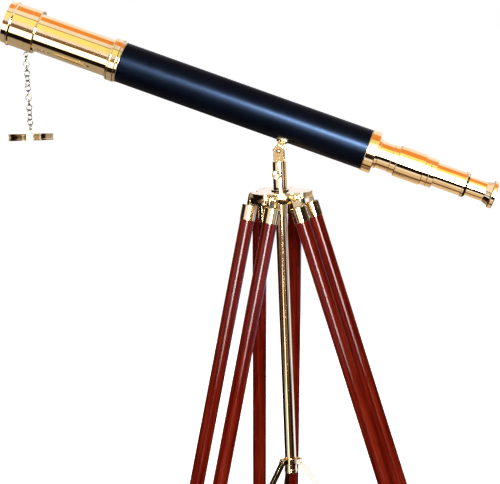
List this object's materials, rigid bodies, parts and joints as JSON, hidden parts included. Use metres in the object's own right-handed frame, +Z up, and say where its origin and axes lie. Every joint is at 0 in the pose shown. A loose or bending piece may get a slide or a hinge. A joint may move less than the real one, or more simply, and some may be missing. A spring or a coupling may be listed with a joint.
{
  "type": "telescope on tripod",
  "caption": "Refracting telescope in polished brass with a leather-covered tube, tilting on a folding wooden tripod with a spreader; dust cap on a chain.",
  "frame": {"origin": "on the floor, under the centre of the bounding box", "axes": "+Z up, the telescope lies in the XZ plane with its objective towards -X, +Y away from the camera"},
  "size_m": [0.9212, 0.663, 1.5229],
  "materials": {
    "polished_brass": "mirror polished and lacquered",
    "blackened_brass": "blackened, matt",
    "leather": "smooth near-black navy leather",
    "mahogany": "red-brown stain under gloss varnish",
    "glass": "polished"
  },
  "bodies": {
    "stand": {"tripod_head": "polished_brass", "column_set_screw": "polished_brass", "hinge_pins": "polished_brass", "eye_straps": "polished_brass", "column": "polished_brass", "column_end_cap": "polished_brass", "post_sleeve": "polished_brass"},
    "pan_screw": {"pan_thumbscrew": "polished_brass"},
    "yoke": {"yoke": "polished_brass", "tilt_bolt": "polished_brass"},
    "wing_nut": {"tilt_wing_nut": "polished_brass"},
    "tube": {"leather_wrap": "leather", "main_tube": "polished_brass", "front_collar": "polished_brass", "objective_barrel": "polished_brass", "objective_cell": "blackened_brass", "crown_lens": "glass", "flint_lens": "glass", "lens_retainer": "blackened_brass", "rear_end_ring": "polished_brass", "focus_sleeve": "polished_brass", "grip_sleeve": "polished_brass", "guide_ring": "polished_brass", "guide_screw": "polished_brass", "saddle": "polished_brass", "saddle_screws": "polished_brass"},
    "dew_shade": {"dew_cap": "polished_brass", "chain_eyelet": "polished_brass"},
    "chain": {"chain_links": "polished_brass"},
    "cap": {"dust_cap": "polished_brass"},
    "draw": {"draw_tube": "polished_brass", "draw_tube_bush": "polished_brass", "erector_cell": "blackened_brass", "erector_lenses": "glass"},
    "eyepiece": {"eyepiece_barrel": "polished_brass", "eyecup": "polished_brass", "eyepiece_lenses": "glass"},
    "hub": {"spreader_hub": "polished_brass", "hub_pins": "polished_brass"},
    "leg_1": {"leg_1_rods": "mahogany", "leg_1_ferrules": "polished_brass", "leg_1_bracket": "polished_brass"},
    "lower_1": {"leg_1_lower_rod": "mahogany", "leg_1_foot": "polished_brass"},
    "knob_1": {"leg_1_clamp_knob": "polished_brass"},
    "arm_1": {"spreader_arm_1": "polished_brass"},
    "leg_2": {"leg_2_rods": "mahogany", "leg_2_ferrules": "polished_brass", "leg_2_bracket": "polished_brass"},
    "lower_2": {"leg_2_lower_rod": "mahogany", "leg_2_foot": "polished_brass"},
    "knob_2": {"leg_2_clamp_knob": "polished_brass"},
    "arm_2": {"spreader_arm_2": "polished_brass"},
    "leg_3": {"leg_3_rods": "mahogany", "leg_3_ferrules": "polished_brass", "leg_3_bracket": "polished_brass"},
    "lower_3": {"leg_3_lower_rod": "mahogany", "leg_3_foot": "polished_brass"},
    "knob_3": {"leg_3_clamp_knob": "polished_brass"},
    "arm_3": {"spreader_arm_3": "polished_brass"}
  },
  "joints": [
    {"name": "pan", "type": "hinge", "parent": "stand", "child": "yoke", "pos_m": [0.05452, -0.05247, 1.22928], "axis": [0, 0, 1], "continuous": true},
    {"name": "pan_screw_turn", "type": "hinge", "parent": "stand", "child": "pan_screw", "pos_m": [0.05452, -0.05247, 1.18678], "axis": [-0.1392, -0.9903, 0], "range_deg": [-180, 180]},
    {"name": "tilt", "type": "hinge", "parent": "yoke", "child": "tube", "pos_m": [0.05452, -0.05247, 1.22928], "axis": [0, 1, 0], "range_deg": [-40, 38]},
    {"name": "wing_nut_turn", "type": "hinge", "parent": "yoke", "child": "wing_nut", "pos_m": [0.05452, -0.05247, 1.22928], "axis": [0, 1, 0], "range_deg": [-180, 180]},
    {"name": "dew_cap_slide", "type": "slide", "parent": "tube", "child": "dew_shade", "axis": [0.9316, 0, -0.3636], "range_m": [0, 0.1]},
    {"name": "chain_swing", "type": "hinge", "parent": "dew_shade", "child": "chain", "pos_m": [-0.41618, -0.05247, 1.42324], "axis": [0, 1, 0], "range_deg": [-45, 45]},
    {"name": "cap_swing", "type": "hinge", "parent": "chain", "child": "cap", "pos_m": [-0.41618, -0.05247, 1.27914], "axis": [0, 1, 0], "range_deg": [-40, 40]},
    {"name": "draw_slide", "type": "slide", "parent": "tube", "child": "draw", "axis": [-0.9316, 0, 0.3636], "range_m": [-0.045, 0.054]},
    {"name": "eyepiece_slide", "type": "slide", "parent": "draw", "child": "eyepiece", "axis": [-0.9316, 0, 0.3636], "range_m": [-0.015, 0.032]},
    {"name": "leg_1_fold", "type": "hinge", "parent": "stand", "child": "leg_1", "pos_m": [0.04426, -0.01174, 1.14528], "axis": [-0.9697, -0.2443, 0], "range_deg": [0, 16]},
    {"name": "hub_slide", "type": "slide", "parent": "stand", "child": "hub", "axis": [0, 0, 1], "range_m": [0, 0.0521]},
    {"name": "leg_2_fold", "type": "hinge", "parent": "stand", "child": "leg_2", "pos_m": [0.02438, -0.08172, 1.14528], "axis": [0.6964, -0.7176, 0], "range_deg": [0, 16]},
    {"name": "leg_3_fold", "type": "hinge", "parent": "stand", "child": "leg_3", "pos_m": [0.09492, -0.06395, 1.14528], "axis": [0.2733, 0.9619, 0], "range_deg": [0, 16]},
    {"name": "arm_1_swing", "type": "hinge", "parent": "hub", "child": "arm_1", "pos_m": [0.04988, -0.03404, 0.62858], "axis": [-0.9697, -0.2443, 0], "range_deg": [0, 35.94]},
    {"name": "leg_1_extend", "type": "slide", "parent": "leg_1", "child": "lower_1", "axis": [0.0697, -0.2768, 0.9584], "range_m": [-0.18, 0.16]},
    {"name": "leg_1_knob_turn", "type": "hinge", "parent": "leg_1", "child": "knob_1", "pos_m": [-0.01926, 0.2404, 0.27228], "axis": [-0.2341, 0.9294, 0.2855], "range_deg": [-180, 180]},
    {"name": "arm_2_swing", "type": "hinge", "parent": "hub", "child": "arm_2", "pos_m": [0.04088, -0.0657, 0.62858], "axis": [0.6964, -0.7176, 0], "range_deg": [0, 35.94]},
    {"name": "leg_2_extend", "type": "slide", "parent": "leg_2", "child": "lower_2", "axis": [0.2049, 0.1988, 0.9584], "range_m": [-0.18, 0.16]},
    {"name": "leg_2_knob_turn", "type": "hinge", "parent": "leg_2", "child": "knob_2", "pos_m": [-0.16222, -0.2628, 0.27228], "axis": [-0.6878, -0.6674, 0.2855], "range_deg": [-180, 180]},
    {"name": "arm_3_swing", "type": "hinge", "parent": "hub", "child": "arm_3", "pos_m": [0.0728, -0.05766, 0.62858], "axis": [0.2733, 0.9619, 0], "range_deg": [0, 35.94]},
    {"name": "leg_3_extend", "type": "slide", "parent": "leg_3", "child": "lower_3", "axis": [-0.2746, 0.078, 0.9584], "range_m": [-0.18, 0.16]},
    {"name": "leg_3_knob_turn", "type": "hinge", "parent": "leg_3", "child": "knob_3", "pos_m": [0.34504, -0.13501, 0.27228], "axis": [0.9219, -0.2619, 0.2855], "range_deg": [-180, 180]}
  ],
  "couplings": [
    {"joint": "leg_2_fold", "follows": "leg_1_fold", "ratio": 1},
    {"joint": "leg_3_fold", "follows": "leg_1_fold", "ratio": 1},
    {"joint": "arm_1_swing", "follows": "leg_1_fold", "ratio": 2.2458},
    {"joint": "arm_2_swing", "follows": "leg_1_fold", "ratio": 2.2458},
    {"joint": "arm_3_swing", "follows": "leg_1_fold", "ratio": 2.2458},
    {"joint": "hub_slide", "follows": "leg_1_fold", "m_per_rad": 0.18596}
  ]
}
